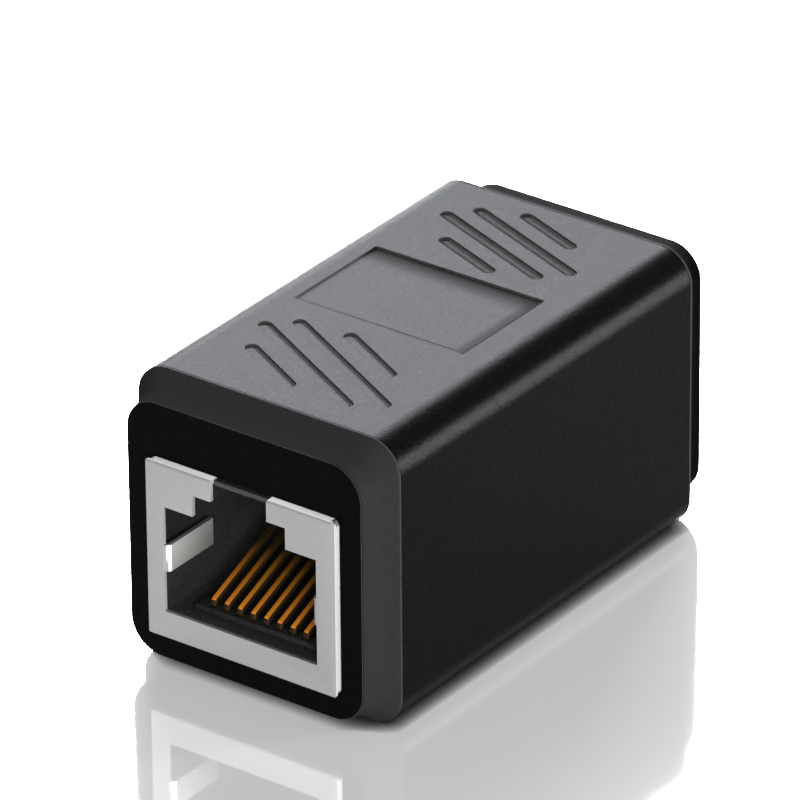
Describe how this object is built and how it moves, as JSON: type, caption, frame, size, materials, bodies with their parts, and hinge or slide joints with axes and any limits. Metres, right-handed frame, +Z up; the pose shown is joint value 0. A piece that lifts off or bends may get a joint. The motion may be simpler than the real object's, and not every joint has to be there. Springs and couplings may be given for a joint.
{
  "type": "rj45 inline coupler",
  "caption": "Straight-through inline coupler for network cables: a moulded black sleeve with a shielded eight-way socket in each end.",
  "frame": {"origin": "middle of the underside, on the surface that the coupler rests on", "axes": "+X to the right as the front socket is seen, +Y along the length from the front socket to the rear one, +Z up, towards the latch side of both ports"},
  "size_m": [0.02, 0.0376, 0.0199],
  "materials": {
    "sleeve_plastic": "black moulded plastic, fine spark texture with a satin sheen",
    "bezel_plastic": "black moulded plastic, fine texture on the cove, plain on the face",
    "insert_plastic": "black moulded plastic, smooth",
    "block_plastic": "black moulded plastic, smooth",
    "shield_nickel": "satin nickel plate on stamped sheet",
    "contact_gold": "thin gold plate on sprung bronze",
    "board_laminate": "green lacquered glass laminate"
  },
  "bodies": {
    "root": {"circuit_board": "board_laminate", "front_bezel": "bezel_plastic", "front_contact_1": "contact_gold", "front_contact_2": "contact_gold", "front_contact_3": "contact_gold", "front_contact_4": "contact_gold", "front_contact_5": "contact_gold", "front_contact_6": "contact_gold", "front_contact_7": "contact_gold", "front_contact_8": "contact_gold", "front_contact_block": "block_plastic", "front_jack_insert": "insert_plastic", "front_jack_shield": "shield_nickel", "housing_sleeve": "sleeve_plastic", "rear_bezel": "bezel_plastic", "rear_contact_1": "contact_gold", "rear_contact_2": "contact_gold", "rear_contact_3": "contact_gold", "rear_contact_4": "contact_gold", "rear_contact_5": "contact_gold", "rear_contact_6": "contact_gold", "rear_contact_7": "contact_gold", "rear_contact_8": "contact_gold", "rear_contact_block": "block_plastic", "rear_jack_insert": "insert_plastic", "rear_jack_shield": "shield_nickel"}
  },
  "joints": []
}
